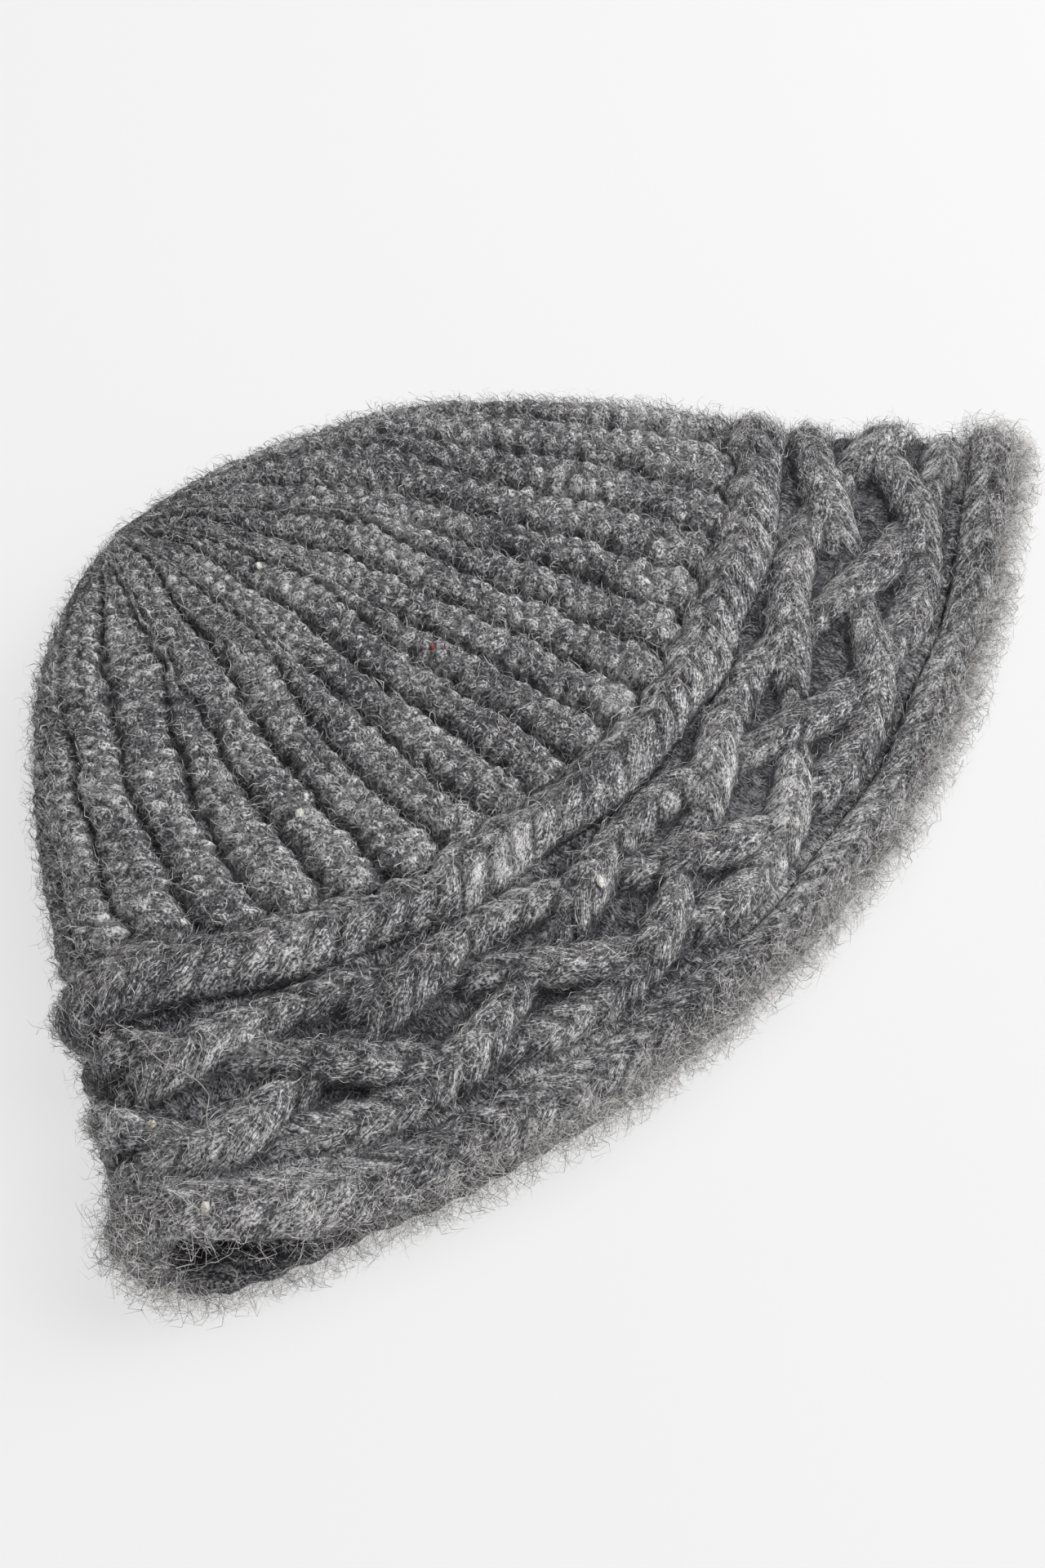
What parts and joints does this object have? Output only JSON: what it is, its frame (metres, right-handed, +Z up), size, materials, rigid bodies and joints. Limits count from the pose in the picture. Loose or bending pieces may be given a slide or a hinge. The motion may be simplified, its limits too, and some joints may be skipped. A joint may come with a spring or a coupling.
{
  "type": "beanie",
  "caption": "Chunky hand-knit beanie lying flattened on its side: ridged short-row crown, corded border, plaited cable band and plain rim.",
  "frame": {"origin": "middle of the bounding box, on the surface that the hat lies on", "axes": "+X across the hat from one fold to the other, +Y from the rim to the point of the crown, +Z up"},
  "size_m": [0.2491, 0.1683, 0.0248],
  "materials": {
    "wool": "matte heathered grey wool, brushed and hairy"
  },
  "bodies": {
    "root": {"crown": "wool", "border_rope": "wool", "cable_band": "wool", "rim": "wool"}
  },
  "joints": []
}
